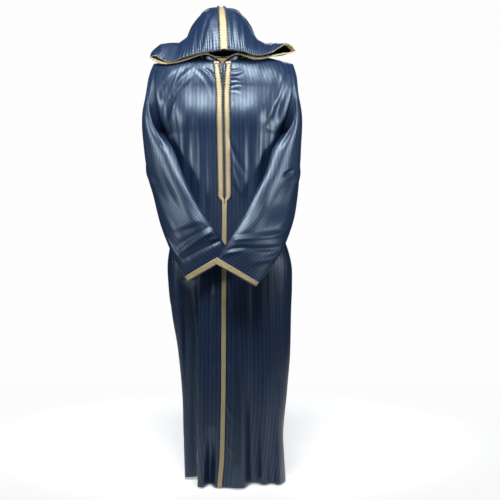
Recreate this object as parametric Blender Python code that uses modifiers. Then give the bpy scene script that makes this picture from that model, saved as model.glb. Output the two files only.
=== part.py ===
# A hooded djellaba robe, hollow, standing as if worn, with its hood up and its sleeves folded in front.
# X runs across (left is -X as seen from the front), -Y is the front and +Z is up.
# The origin is at the base of the neck, level with the shoulders.
import bpy
import bmesh
import math
from mathutils import Vector

# Cloth and trim thicknesses, and the gap left at every seam
CLOTH = 0.0015
BRAID = 0.0012
SEAM = 0.0005
LAY = CLOTH / 2 + BRAID / 2 + 0.0004

# Heights of the robe
HEM = -1.440
PLACKET_POINT = -0.509
PLACKET_CORNER = -0.485
ARMPIT = -0.275
CHEST_TOP = -0.120
NECK_FRONT = -0.034
NECK_BACK = 0.008
NECK_SIDE = 0.006
SHOULDER_TIP = -0.028

# Neck opening, armhole and shoulder seam
NECK_HALF_WIDTH = 0.078
NECK_FRONT_DEPTH = -0.080
NECK_BACK_DEPTH = 0.055
NECK_SHARE = 0.38
ARMHOLE_HALF_DEPTH = 0.060
SHOULDER_REACH = {-1: 0.233, 1: 0.236}
SLIT_HALF_WIDTH = 0.014
SLIT_START = 0.56

# Roundness of the body seen from above: 1 is an ellipse, less is squarer
ROUND_ACROSS = 0.92
ROUND_DEEP = 0.72

# Body rings: how far the cloth reaches to each side, where the centre front hangs, and its depth
BODY_COLUMNS = ("height", "left", "right", "centre", "front", "back", "seam_left", "seam_right")
BODY = (
    (-1.440, 0.1310, 0.2120, -0.0080, -0.104, 0.116, 0.90, 0.93),
    (-1.350, 0.1335, 0.2070, -0.0005, -0.108, 0.115, 0.90, 0.93),
    (-1.275, 0.1350, 0.2040, 0.0020, -0.112, 0.114, 0.91, 0.93),
    (-1.150, 0.1385, 0.2155, 0.0050, -0.116, 0.112, 0.90, 0.85),
    (-1.010, 0.1500, 0.2270, 0.0060, -0.120, 0.111, 0.84, 0.78),
    (-0.850, 0.1745, 0.2310, 0.0065, -0.123, 0.110, 0.70, 0.70),
    (-0.780, 0.1840, 0.2335, 0.0070, -0.123, 0.110, 0.66, 0.67),
    (-0.700, 0.1860, 0.2300, 0.0075, -0.121, 0.109, 0.68, 0.70),
    (-0.600, 0.1700, 0.2000, 0.0080, -0.117, 0.107, 0.78, 0.80),
    (-0.500, 0.1540, 0.1680, 0.0090, -0.113, 0.106, 0.88, 0.90),
    (-0.400, 0.1600, 0.1640, 0.0080, -0.112, 0.106, 0.96, 0.97),
    (-0.275, 0.1940, 0.1960, 0.0060, -0.115, 0.106, 1.00, 1.00),
    (-0.200, 0.2120, 0.2150, 0.0045, -0.116, 0.102, 1.00, 1.00),
    (-0.120, 0.2260, 0.2330, 0.0040, -0.107, 0.092, 1.00, 1.00),
)

# Folds: where each lies across the hem, how wide it is on each side, how deep it is at the hem
# (plus goes in), the height where it dies out and how far it leans sideways there
FOLD_COLUMNS = ("centre", "left_width", "right_width", "depth", "top", "lean")
FRONT_FOLDS = (
    (-0.108, 0.050, 0.027, 0.078, -0.76, 0.006),
    (-0.062, 0.022, 0.026, -0.010, -0.90, 0.004),
    (-0.042, 0.024, 0.022, 0.040, -1.24, 0.008),
    (0.056, 0.045, 0.036, -0.020, -0.95, -0.010),
    (0.104, 0.032, 0.048, 0.042, -0.84, -0.022),
    (0.158, 0.026, 0.030, 0.020, -1.05, -0.004),
    (0.190, 0.022, 0.022, -0.012, -1.10, 0.000),
)
BACK_FOLDS = (
    (-0.095, 0.040, 0.045, -0.045, -0.55, 0.020),
    (-0.030, 0.036, 0.036, 0.018, -0.80, 0.006),
    (0.032, 0.040, 0.040, -0.040, -0.50, -0.004),
    (0.098, 0.036, 0.040, 0.016, -0.85, -0.010),
    (0.160, 0.038, 0.032, -0.042, -0.60, -0.022),
)
HEM_RISE = 0.10

# Sleeves: the outer edge, the inner edge, how far each section bulges out and in, and how far round
# from the front the bulge faces, in degrees
SLEEVE_COLUMNS = (
    "outer_x", "outer_y", "outer_z", "inner_x", "inner_y", "inner_z", "out", "inside", "facing",
)
SLEEVES = {
    -1: (
        (-0.233, 0.000, -0.028, -0.194, 0.000, -0.275, 0.060, 0.060, 0),
        (-0.248, 0.004, -0.068, -0.222, -0.018, -0.278, 0.060, 0.058, 4),
        (-0.254, 0.014, -0.165, -0.208, -0.062, -0.272, 0.058, 0.036, 12),
        (-0.252, 0.026, -0.290, -0.164, -0.094, -0.326, 0.052, 0.010, 32),
        (-0.245, 0.026, -0.400, -0.128, -0.124, -0.413, 0.048, 0.008, 46),
        (-0.227, -0.002, -0.480, -0.083, -0.148, -0.503, 0.042, 0.006, 46),
        (-0.197, -0.072, -0.588, -0.035, -0.162, -0.574, 0.040, 0.010, 38),
        (-0.157, -0.128, -0.680, 0.004, -0.164, -0.633, 0.028, 0.012, 24),
        (-0.107, -0.160, -0.759, 0.031, -0.162, -0.681, 0.018, 0.014, 8),
    ),
    1: (
        (0.236, 0.000, -0.028, 0.196, 0.000, -0.275, 0.060, 0.060, 0),
        (0.248, 0.004, -0.068, 0.232, -0.018, -0.278, 0.060, 0.058, 4),
        (0.248, 0.014, -0.165, 0.213, -0.062, -0.272, 0.058, 0.036, 12),
        (0.245, 0.026, -0.290, 0.170, -0.094, -0.326, 0.052, 0.010, 32),
        (0.247, 0.026, -0.400, 0.141, -0.124, -0.413, 0.048, 0.008, 46),
        (0.245, -0.002, -0.490, 0.094, -0.158, -0.505, 0.042, 0.006, 46),
        (0.2280, -0.070, -0.580, 0.0553, -0.196, -0.5755, 0.040, 0.010, 38),
        (0.1830, -0.160, -0.683, 0.0160, -0.222, -0.640, 0.028, 0.012, 24),
        (0.1090, -0.222, -0.773, -0.020, -0.226, -0.701, 0.018, 0.014, 8),
    ),
}

# Hood: sections from the front rim back to the rear seam. Each runs from the centre seam over the
# crown, out to the wing tip, and back under to the neck seam
RIM = {
    -1: (
        (0.000, -0.120, -0.004), (0.054, -0.114, -0.012), (0.104, -0.098, -0.018),
        (0.180, -0.078, -0.034), (0.226, -0.046, -0.008), (0.2445, -0.026, -0.013),
        (0.199, -0.062, -0.039), (0.140, -0.076, -0.036), (0.056, -0.088, -0.014),
    ),
    1: (
        (0.000, -0.120, -0.004), (0.060, -0.115, -0.009), (0.110, -0.101, -0.019),
        (0.161, -0.072, -0.002), (0.212, -0.034, 0.034), (0.243, -0.012, 0.012),
        (0.190, -0.048, -0.007), (0.112, -0.074, -0.027), (0.050, -0.088, -0.014),
    ),
}
HOOD_ROWS = (
    (0.25, (
        (0.000, -0.088, 0.082), (0.052, -0.078, 0.076), (0.094, -0.058, 0.054),
        (0.140, -0.036, 0.034), (0.190, -0.018, 0.036), (0.228, 0.000, 0.012),
        (0.180, -0.018, 0.002), (0.125, -0.026, 0.008), (0.084, -0.040, 0.016))),
    (0.50, (
        (0.000, -0.046, 0.140), (0.050, -0.036, 0.134), (0.092, -0.020, 0.092),
        (0.124, -0.004, 0.046), (0.160, 0.008, 0.040), (0.202, 0.020, 0.012),
        (0.164, 0.016, 0.002), (0.124, 0.014, 0.010), (0.092, 0.006, 0.022))),
    (0.75, (
        (0.000, 0.006, 0.166), (0.048, 0.010, 0.157), (0.086, 0.020, 0.112),
        (0.106, 0.030, 0.060), (0.122, 0.040, 0.034), (0.134, 0.046, 0.016),
        (0.112, 0.044, 0.012), (0.092, 0.042, 0.016), (0.072, 0.044, 0.020))),
    (1.00, (
        (0.000, 0.074, 0.158), (0.000, 0.084, 0.138), (0.000, 0.090, 0.112),
        (0.000, 0.091, 0.086), (0.000, 0.088, 0.062), (0.000, 0.083, 0.044),
        (0.000, 0.077, 0.031), (0.000, 0.070, 0.022), (0.000, 0.064, 0.016))),
)
NECK_FRONT_PART = 0.55
HOOD_CENTRE = ((0.007,), (0.003,), (-0.002,), (-0.006,), (-0.004,))
HOOD_SPREAD = {-1: 1.06, 1: 1.0}

# Braids
PLACKET_INNER = 0.004
PLACKET_OUTER = 0.020
SKIRT_BRAID_HALF = 0.0073
CUFF_BRAID_WIDTH = 0.016
CUFF_LAY = 0.0018
TIP_GAP = 0.0010
PLACKET_LAY = LAY + SEAM + 0.0004
HOOD_GAP = 0.0008
NECK_SEAM_LIFT = 0.0036
ARMHOLE_GAP = 0.0014
HOOD_BRAID_HALF = {"rim": 0.0130, "tip": 0.0095}
RIM_BRAID_WIDTH = 0.012
TAB_HEIGHT = 0.006
PLACKET_TOP = -0.034
CLOSURE_TOP = -0.060
FACING_BOTTOM = -0.105
FACING_DEPTH = 0.004
CLOSURE_HALF = 0.0030

# Grid of each panel: rows from the hem to the armpit, up to the chest, and over the shoulder
LOWER_ROWS = 16
CHEST_ROWS = 4
SHOULDER_ROWS = 4
PANEL_ROWS = LOWER_ROWS + CHEST_ROWS + SHOULDER_ROWS
FRONT_COLUMNS = 11
BACK_COLUMNS = 20
SLEEVE_COLUMNS_ROUND = 2 * (CHEST_ROWS + SHOULDER_ROWS)
SLEEVE_ROWS = 14
HOOD_COLUMNS_ROUND = 22
HOOD_BACK_ROWS = 10
SIDE_SEAM_TURN = 0.003

# Colours, written as red, green, blue in the range 0 to 1
NAVY = (0.045, 0.075, 0.125)
GOLD = (0.62, 0.53, 0.33)
CORD = (0.10, 0.10, 0.16)
BEIGE = (0.45, 0.36, 0.24)


def material(name, colour, roughness, metallic=0.0):
    made = bpy.data.materials.new(name)
    made.use_nodes = True
    shader = made.node_tree.nodes["Principled BSDF"]
    shader.inputs["Base Color"].default_value = (*colour, 1.0)
    shader.inputs["Roughness"].default_value = roughness
    shader.inputs["Metallic"].default_value = metallic
    made.diffuse_color = (*colour, 1.0)
    return made


def smooth_row(rows, position):
    # A smooth curve through evenly numbered rows, read at a fractional row number
    last = len(rows) - 1
    position = min(max(position, 0.0), float(last))
    step = min(int(position), last - 1)
    part = position - step
    before = rows[max(step - 1, 0)]
    start = rows[step]
    end = rows[step + 1]
    after = rows[min(step + 2, last)]
    result = []
    for a, b, c, d in zip(before, start, end, after):
        slope_in = (c - a) / 2
        slope_out = (d - b) / 2
        value = (2 * part ** 3 - 3 * part ** 2 + 1) * b + (part ** 3 - 2 * part ** 2 + part) * slope_in
        value += (3 * part ** 2 - 2 * part ** 3) * c + (part ** 3 - part ** 2) * slope_out
        result.append(value)
    return result


def body_ring(height):
    # Named sizes of the ring at a height, eased between the rows of the table
    height = min(max(height, BODY[0][0]), BODY[-1][0])
    for index in range(len(BODY) - 1):
        if height <= BODY[index + 1][0]:
            share = (height - BODY[index][0]) / (BODY[index + 1][0] - BODY[index][0])
            return dict(zip(BODY_COLUMNS, smooth_row(BODY, index + share)))
    return dict(zip(BODY_COLUMNS, BODY[-1]))


def fold_depth(folds, x, height):
    total = 0.0
    for row in folds:
        fold = dict(zip(FOLD_COLUMNS, row))
        rise = (height - HEM) / (fold["top"] - HEM)
        if rise >= 1.0:
            continue
        offset = x - fold["centre"] - fold["lean"] * rise
        width = fold["left_width"] if offset < 0 else fold["right_width"]
        if abs(offset) < width:
            total += fold["depth"] * (1 - rise) ** 0.8 * (math.cos(math.pi * offset / width) + 1) / 2
    return total


def armhole_depth(height):
    middle = (SHOULDER_TIP + ARMPIT) / 2
    half = (SHOULDER_TIP - ARMPIT) / 2
    share = min(abs((height - middle) / half), 1.0)
    return ARMHOLE_HALF_DEPTH * math.sqrt(1 - share ** 2)


def slit(height):
    # Half width of the front opening: a narrow V at the neck, closed below
    rise = (height - CHEST_TOP) / -CHEST_TOP
    open_share = max(0.0, (rise - SLIT_START) / (1 - SLIT_START))
    return SEAM / 2 + SLIT_HALF_WIDTH * open_share ** 1.2


def top_edge(side, turn, front_facing, gap):
    # The neckline, then the shoulder seam out to the shoulder tip
    facing = -1 if front_facing else 1
    neck_y = NECK_FRONT_DEPTH if front_facing else NECK_BACK_DEPTH
    neck_z = NECK_FRONT if front_facing else NECK_BACK
    if turn < NECK_SHARE:
        angle = turn / NECK_SHARE * math.pi / 2
        x = gap + (NECK_HALF_WIDTH - gap) * math.sin(angle)
        y = neck_y * math.cos(angle) + facing * SEAM / 2
        z = NECK_SIDE + (neck_z - NECK_SIDE) * math.cos(angle)
        return Vector((side * x, y, z))
    share = (turn - NECK_SHARE) / (1 - NECK_SHARE)
    x = NECK_HALF_WIDTH + (SHOULDER_REACH[side] - NECK_HALF_WIDTH) * share
    z = NECK_SIDE + (SHOULDER_TIP - NECK_SIDE) * share
    return Vector((side * x, facing * SEAM / 2, z))


def body_point(side, turn, height):
    # turn goes round from 0 at the centre front by 1 at the side to 2 at the centre back
    front_facing = turn <= 1
    around = turn if front_facing else 2 - turn
    ring = body_ring(height)
    reach = ring["left"] if side < 0 else ring["right"]
    middle = ring["centre"] if front_facing else 0.0
    middle *= 1 - around
    gap = slit(height) if front_facing else 0.0
    angle = around * math.pi / 2
    across = gap + (reach - gap) * math.sin(angle) ** ROUND_ACROSS
    x = middle + side * across
    deep = ring["front"] if front_facing else ring["back"]
    edge = 0.0
    if height > ARMPIT:
        edge = armhole_depth(min(height, CHEST_TOP)) * (-1 if front_facing else 1)
    y = edge + (deep - edge) * max(math.cos(angle), 0.0) ** ROUND_DEEP
    if height <= CHEST_TOP:
        depth = fold_depth(FRONT_FOLDS, x, height)
        if not front_facing:
            side_share = max(0.0, 1 - (1 - around) / 0.35)
            depth = depth * side_share - fold_depth(BACK_FOLDS, x, height) * (1 - side_share)
        low = max(0.0, (-1.30 - height) / (-1.30 - HEM))
        return Vector((x, y + depth, height + HEM_RISE * abs(depth) * low))
    rise = (height - CHEST_TOP) / -CHEST_TOP
    top = top_edge(side, around, front_facing, gap)
    lift = math.sin(rise * math.pi / 2)
    lean = 1 - math.cos(rise * math.pi / 2)
    across = x + (top.x - x) * rise
    return Vector((across, y + (top.y - y) * lean, CHEST_TOP + (top.z - CHEST_TOP) * lift))


def row_height(row):
    # Height of a panel row, which may be fractional: evenly spaced within each of the three parts
    if row <= LOWER_ROWS:
        return HEM + (ARMPIT - HEM) * row / LOWER_ROWS
    if row <= LOWER_ROWS + CHEST_ROWS:
        return ARMPIT + (CHEST_TOP - ARMPIT) * (row - LOWER_ROWS) / CHEST_ROWS
    return CHEST_TOP * (1 - (row - LOWER_ROWS - CHEST_ROWS) / SHOULDER_ROWS)


def row_number(height):
    if height <= ARMPIT:
        return LOWER_ROWS * (height - HEM) / (ARMPIT - HEM)
    if height <= CHEST_TOP:
        return LOWER_ROWS + CHEST_ROWS * (height - ARMPIT) / (CHEST_TOP - ARMPIT)
    return PANEL_ROWS - SHOULDER_ROWS * height / CHEST_TOP


def front_edge(side, height):
    # The turn at which the front panel ends: the side seam, or the armhole above it
    if height > ARMPIT + 0.001:
        return 1.0
    return body_ring(height)["seam_left" if side < 0 else "seam_right"] - SIDE_SEAM_TURN


def body_out(side, turn, height, distance):
    # A point of the body moved straight out from the cloth
    step = 0.004
    here = panel_point(side, turn, height) if turn <= 1 else body_point(side, turn, height)
    along = body_point(side, min(turn + step, 2.0), height) - body_point(side, max(turn - step, 0.0), height)
    up = body_point(side, turn, min(height + step, -0.001)) - body_point(side, turn, max(height - step, HEM))
    normal = along.cross(up).normalized()
    if side < 0:
        normal = -normal
    return here + normal * distance


def front_turn(side, height, offset):
    # The turn at which the front cloth is a given distance from the centre line
    ring = body_ring(height)
    reach = ring["left"] if side < 0 else ring["right"]
    gap = slit(height)
    share = max(offset - gap, 0.0) / (reach - gap)
    return math.asin(min(share, 1.0) ** (1 / ROUND_ACROSS)) * 2 / math.pi


def panel_point(side, turn, height):
    # A point on the flat facets of the front panel, so that what is laid on it follows them
    row = row_number(height)
    low = min(int(row), PANEL_ROWS - 1)
    corners = []
    for step in (low, low + 1):
        level = row_height(step)
        edge = front_edge(side, level)
        column = min(turn / edge * FRONT_COLUMNS, FRONT_COLUMNS - 0.001)
        first = int(column)
        start = body_point(side, first / FRONT_COLUMNS * edge, level)
        end = body_point(side, (first + 1) / FRONT_COLUMNS * edge, level)
        corners.append(start.lerp(end, column - first))
    return corners[0].lerp(corners[1], row - low)


def armhole_point(side, angle, distance):
    # The edge of the body at the armhole: 0 is the shoulder tip and pi the armpit
    down = 1 - abs(1 - (angle / math.pi) % 2)
    height = row_height(PANEL_ROWS - down * (CHEST_ROWS + SHOULDER_ROWS))
    turn = 1.0 if math.sin(angle) >= 0 else 1.0001
    return body_point(side, turn, min(height, -0.0001)) + Vector((side * distance, 0.0, 0.0))


def sleeve_frame(side, position):
    row = dict(zip(SLEEVE_COLUMNS, smooth_row(SLEEVES[side], position)))
    outer = Vector((row["outer_x"], row["outer_y"], row["outer_z"]))
    inner = Vector((row["inner_x"], row["inner_y"], row["inner_z"]))
    angle = math.radians(row["facing"])
    along = (outer - inner).normalized()
    bulge = Vector((side * math.sin(angle), -math.cos(angle), 0.0))
    bulge = (bulge - along * bulge.dot(along)).normalized()
    return outer, inner, bulge, row["out"], row["inside"]


def sleeve_point(side, angle, position):
    # angle 0 is the outer edge, pi the inner edge; the first half turn is the outside of the fold
    outer, inner, bulge, out, inside = sleeve_frame(side, position)
    half = (outer - inner) / 2
    depth = out if math.sin(angle) >= 0 else inside
    point = (outer + inner) / 2 + half * math.cos(angle) + bulge * depth * math.sin(angle)
    if position < 1:
        start = armhole_point(side, angle, ARMHOLE_GAP)
        return start.lerp(point, position)
    return point


def neck_seam(side, share):
    # The neckline from the front opening (0) to the centre back (1), just above the body
    if share < NECK_FRONT_PART:
        turn = share / NECK_FRONT_PART * NECK_SHARE
        edge = top_edge(side, turn, True, SLIT_HALF_WIDTH)
    else:
        turn = (1 - share) / (1 - NECK_FRONT_PART) * NECK_SHARE
        edge = top_edge(side, turn, False, SEAM / 2)
    return edge + Vector((0.0, 0.0, NECK_SEAM_LIFT))


def hood_point(side, back, round_share):
    # back: 0 at the rim, 1 at the rear seam. round_share: 0 at the centre seam, 1 at the neck seam
    sections = [(0.0, RIM[side])] + list(HOOD_ROWS)
    columns = []
    for share, stations in sections:
        neck = neck_seam(side, share)
        spread = HOOD_SPREAD[side] if share > 0 else 1.0
        points = [(spread * x, y, z) for x, y, z in stations] + [(abs(neck.x), neck.y, neck.z)]
        columns.append(smooth_row(points, round_share * (len(points) - 1)))
    x, y, z = smooth_row(columns, back * (len(columns) - 1))
    shift = smooth_row(HOOD_CENTRE, back * (len(columns) - 1))[0] * (1 - round_share) ** 2
    return Vector((side * max(x, HOOD_GAP) + shift, y, z))


def hood_out(side, back, round_share, distance):
    step = 0.01
    here = hood_point(side, back, round_share)
    along = hood_point(side, min(back + step, 1.0), round_share)
    along = along - hood_point(side, max(back - step, 0.0), round_share)
    across = hood_point(side, back, min(round_share + step, 1.0))
    across = across - hood_point(side, back, max(round_share - step, 0.0))
    normal = across.cross(along).normalized() * side
    return here + normal * distance


def sheet(name, columns, rows, place, thickness, look, target, joined=False):
    # A flat grid carried onto a surface and thickened; place(u, v) gives the middle of the cloth
    made = bmesh.new()
    bmesh.ops.create_grid(made, x_segments=columns, y_segments=rows, size=0.5)
    for vert in made.verts:
        vert.co = place(vert.co.x + 0.5, vert.co.y + 0.5)
    if joined:
        bmesh.ops.remove_doubles(made, verts=made.verts, dist=0.00005)
    bmesh.ops.recalc_face_normals(made, faces=made.faces)
    mesh = bpy.data.meshes.new(name)
    made.to_mesh(mesh)
    made.free()
    piece = bpy.data.objects.new(name, mesh)
    target.objects.link(piece)
    piece.data.materials.append(look)
    thick = piece.modifiers.new("thickness", "SOLIDIFY")
    thick.thickness = thickness
    thick.offset = 0.0
    thick.use_quality_normals = True
    return piece


def front_panel(side, name, look, target):
    def place(across, up):
        height = row_height(up * PANEL_ROWS)
        return body_point(side, across * front_edge(side, height), height)

    return sheet(name, FRONT_COLUMNS, PANEL_ROWS, place, CLOTH, look, target)


def back_panel(look, target):
    def place(across, up):
        height = min(row_height(up * PANEL_ROWS), -0.0001)
        side = -1 if across < 0.5 else 1
        spread = abs(across - 0.5) * 2
        edge = 1.0001
        if height <= ARMPIT + 0.001:
            edge = front_edge(side, height) + SIDE_SEAM_TURN
        return body_point(side, 2 - spread * (2 - edge), height)

    return sheet("back", BACK_COLUMNS, PANEL_ROWS, place, CLOTH, look, target)


def sleeve(side, name, look, target):
    last = len(SLEEVES[side]) - 1

    def place(around, along):
        return sleeve_point(side, around * 2 * math.pi, along * last)

    return sheet(name, SLEEVE_COLUMNS_ROUND, SLEEVE_ROWS, place, CLOTH, look, target, joined=True)


def mitred(before, here, after, axis, distance):
    # here moved out sideways from the line before, here, after, so that both sides keep their distance
    first = (here - before).cross(axis).normalized()
    second = (after - here).cross(axis).normalized()
    middle = (first + second).normalized()
    return here + middle * distance / max(middle.dot(first), 0.45)


def cuff_braid(side, name, look, target):
    last = len(SLEEVES[side]) - 1
    row_step = last / SLEEVE_ROWS
    turn_step = 2 * math.pi / SLEEVE_COLUMNS_ROUND

    def place(around, along):
        angle = around * 2 * math.pi
        ring = []
        for shift in (-turn_step, 0.0, turn_step):
            end = sleeve_point(side, angle + shift, last)
            start = sleeve_point(side, angle + shift, last - row_step)
            ring.append(end + (start - end).normalized() * CUFF_BRAID_WIDTH * (1 - along))
        axis = end - start
        return mitred(ring[0], ring[1], ring[2], axis, side * CUFF_LAY)

    return sheet(name, SLEEVE_COLUMNS_ROUND, 1, place, BRAID, look, target, joined=True)


def placket_strip(side, name, look, target):
    def place(across, up):
        inner = PLACKET_INNER if up > 0.03 else SEAM
        offset = inner + (PLACKET_OUTER - inner) * across
        bottom = PLACKET_POINT + (PLACKET_CORNER - PLACKET_POINT) * offset / PLACKET_OUTER
        height = bottom + (PLACKET_TOP - bottom) * up
        extra = slit(height)
        return body_out(side, front_turn(side, height, offset + extra), height, PLACKET_LAY)

    return sheet(name, 2, 20, place, BRAID, look, target)


def closure(look, target):
    def place(across, up):
        bottom = PLACKET_CORNER + 0.012
        height = bottom + (CLOSURE_TOP - bottom) * up
        offset = (across - 0.5) * 2 * CLOSURE_HALF
        side = -1 if offset < 0 else 1
        return body_out(side, front_turn(side, height, max(abs(offset), SEAM)), height, LAY + SEAM)

    return sheet("closure_row", 1, 18, place, BRAID, look, target)


def skirt_braid(look, target):
    def place(across, up):
        top = PLACKET_POINT - TIP_GAP
        rows = math.ceil(row_number(top))
        height = min(row_height(up * rows), top)
        offset = (across - 0.5) * 2 * SKIRT_BRAID_HALF
        side = -1 if offset < 0 else 1
        return body_out(side, front_turn(side, height, abs(offset)), height, LAY + 3 * SEAM)

    return sheet("skirt_braid", 2, math.ceil(row_number(PLACKET_POINT)), place, BRAID, look, target)


def hood_half(side, name, look, target):
    def place(back, turn):
        return hood_point(side, back, turn)

    return sheet(name, HOOD_BACK_ROWS, HOOD_COLUMNS_ROUND, place, CLOTH, look, target)


def hood_braid(look, target):
    rows = HOOD_BACK_ROWS - 2

    def place(across, along):
        back = along * rows / HOOD_BACK_ROWS
        half = HOOD_BRAID_HALF["rim"] + (HOOD_BRAID_HALF["tip"] - HOOD_BRAID_HALF["rim"]) * along
        side = -1 if across < 0.5 else 1
        step = 1 / HOOD_COLUMNS_ROUND
        centre = hood_out(side, back, 0.0, LAY + SEAM)
        edge = hood_out(side, back, step, LAY + SEAM)
        point = centre + (edge - centre).normalized() * abs(across - 0.5) * 2 * half
        if abs(across - 0.5) < 0.01:
            point.x += HOOD_GAP
        return point

    return sheet("hood_braid", 2, rows, place, BRAID, look, target)


def rim_braid(side, name, look, target):
    step = 1 / HOOD_COLUMNS_ROUND

    def place(inward, around):
        turn = min(max(around, 0.008), 0.985)
        line = []
        for shift in (-step, 0.0, step):
            share = min(max(turn + shift, 0.0), 1.0)
            start = hood_point(side, 0.0, share)
            end = hood_point(side, 1 / HOOD_BACK_ROWS, share)
            line.append(start + (end - start).normalized() * (0.0005 + inward * RIM_BRAID_WIDTH))
        start = hood_point(side, 0.0, turn)
        axis = hood_point(side, 1 / HOOD_BACK_ROWS, turn) - start
        return mitred(line[0], line[1], line[2], axis, -side * (LAY + SEAM))

    return sheet(name, 1, HOOD_COLUMNS_ROUND, place, BRAID, look, target)


def neck_facing(look, target):
    def place(across, up):
        height = FACING_BOTTOM * (1 - up) - 0.001
        side = -1 if across < 0.5 else 1
        spread = abs(across - 0.5) * 2
        widest = NECK_SHARE * 0.92
        return body_out(side, 2 - spread * widest, height, -FACING_DEPTH)

    return sheet("neck_facing", 8, 4, place, BRAID, look, target)


def tab(side, name, look, target):
    def place(across, up):
        height = PLACKET_TOP - 0.004
        offset = PLACKET_INNER - 0.001 + (PLACKET_OUTER - PLACKET_INNER + 0.002) * across
        distance = PLACKET_LAY + BRAID + 3 * SEAM
        base = body_out(side, front_turn(side, height, offset + slit(height)), height, distance)
        return base + Vector((0.0, 0.0, (up - 0.5) * TAB_HEIGHT))

    return sheet(name, 2, 1, place, BRAID, look, target)


def build():
    for old in list(bpy.context.scene.objects):
        bpy.data.objects.remove(old, do_unlink=True)
    target = bpy.data.collections.new("djellaba_robe")
    bpy.context.scene.collection.children.link(target)
    cloth = material("striped_satin", NAVY, 0.45)
    gold = material("gold_braid", GOLD, 0.5)
    cord = material("closure_cord", CORD, 0.6)
    beige = material("facing_cotton", BEIGE, 0.8)
    front_panel(-1, "front_left", cloth, target)
    front_panel(1, "front_right", cloth, target)
    back_panel(cloth, target)
    sleeve(-1, "sleeve_left", cloth, target)
    sleeve(1, "sleeve_right", cloth, target)
    hood_half(-1, "hood_left", cloth, target)
    hood_half(1, "hood_right", cloth, target)
    placket_strip(-1, "placket_braid_left", gold, target)
    placket_strip(1, "placket_braid_right", gold, target)
    closure(cord, target)
    skirt_braid(gold, target)
    cuff_braid(-1, "cuff_braid_left", gold, target)
    cuff_braid(1, "cuff_braid_right", gold, target)
    hood_braid(gold, target)
    rim_braid(-1, "rim_braid_left", gold, target)
    rim_braid(1, "rim_braid_right", gold, target)
    tab(-1, "braid_end_left", gold, target)
    tab(1, "braid_end_right", gold, target)
    neck_facing(beige, target)


build()
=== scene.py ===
import bpy
import bmesh
import math
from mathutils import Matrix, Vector, noise


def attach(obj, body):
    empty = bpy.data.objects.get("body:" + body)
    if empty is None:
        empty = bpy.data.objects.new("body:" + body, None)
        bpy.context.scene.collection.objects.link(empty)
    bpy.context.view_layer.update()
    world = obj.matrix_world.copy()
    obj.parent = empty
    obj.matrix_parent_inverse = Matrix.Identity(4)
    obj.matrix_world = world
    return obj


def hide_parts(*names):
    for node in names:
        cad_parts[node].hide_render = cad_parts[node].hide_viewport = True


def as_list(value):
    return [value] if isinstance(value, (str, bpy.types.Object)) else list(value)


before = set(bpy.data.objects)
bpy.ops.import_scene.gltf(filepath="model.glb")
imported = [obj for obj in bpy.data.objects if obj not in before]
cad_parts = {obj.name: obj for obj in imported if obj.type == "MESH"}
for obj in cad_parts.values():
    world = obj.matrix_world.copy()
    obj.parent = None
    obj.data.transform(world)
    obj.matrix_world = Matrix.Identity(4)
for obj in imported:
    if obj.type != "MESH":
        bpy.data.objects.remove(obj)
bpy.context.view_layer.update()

# Cloth and trim thicknesses, and the gap left at every seam
CLOTH = 0.0015
BRAID = 0.0012
SEAM = 0.0005
LAY = CLOTH / 2 + BRAID / 2 + 0.0004

# Heights of the robe
HEM = -1.440
PLACKET_POINT = -0.509
PLACKET_CORNER = -0.485
ARMPIT = -0.275
CHEST_TOP = -0.120
NECK_FRONT = -0.034
NECK_BACK = 0.008
NECK_SIDE = 0.006
SHOULDER_TIP = -0.028

# Neck opening, armhole and shoulder seam
NECK_HALF_WIDTH = 0.078
NECK_FRONT_DEPTH = -0.080
NECK_BACK_DEPTH = 0.055
NECK_SHARE = 0.38
ARMHOLE_HALF_DEPTH = 0.060
SHOULDER_REACH = {-1: 0.233, 1: 0.236}
SLIT_HALF_WIDTH = 0.0095
SLIT_START = 0.54

# Roundness of the body seen from above: 1 is an ellipse, less is squarer
ROUND_ACROSS = 0.92
ROUND_DEEP = 0.72

# Body rings: how far the cloth reaches to each side, where the centre front hangs, its depth in front
# and behind, and how far round the side seams lie
BODY_COLUMNS = ("height", "left", "right", "centre", "front", "back", "seam_left", "seam_right")
BODY = (
    (-1.440, 0.1310, 0.2120, -0.0080, -0.104, 0.116, 0.90, 0.93),
    (-1.350, 0.1335, 0.2070, -0.0005, -0.108, 0.115, 0.90, 0.93),
    (-1.275, 0.1350, 0.2040, 0.0020, -0.112, 0.114, 0.91, 0.93),
    (-1.150, 0.1385, 0.2155, 0.0050, -0.116, 0.112, 0.90, 0.85),
    (-1.010, 0.1500, 0.2270, 0.0060, -0.120, 0.111, 0.84, 0.78),
    (-0.850, 0.1745, 0.2310, 0.0065, -0.123, 0.110, 0.70, 0.70),
    (-0.780, 0.1840, 0.2335, 0.0070, -0.123, 0.110, 0.66, 0.67),
    (-0.700, 0.1860, 0.2300, 0.0075, -0.121, 0.109, 0.68, 0.70),
    (-0.600, 0.1700, 0.2000, 0.0080, -0.117, 0.107, 0.78, 0.80),
    (-0.500, 0.1540, 0.1680, 0.0090, -0.113, 0.106, 0.88, 0.90),
    (-0.400, 0.1600, 0.1640, 0.0080, -0.112, 0.106, 0.96, 0.97),
    (-0.275, 0.1940, 0.1960, 0.0060, -0.115, 0.106, 1.00, 1.00),
    (-0.200, 0.2120, 0.2150, 0.0045, -0.116, 0.102, 1.00, 1.00),
    (-0.120, 0.2260, 0.2330, 0.0040, -0.107, 0.092, 1.00, 1.00),
)

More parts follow.
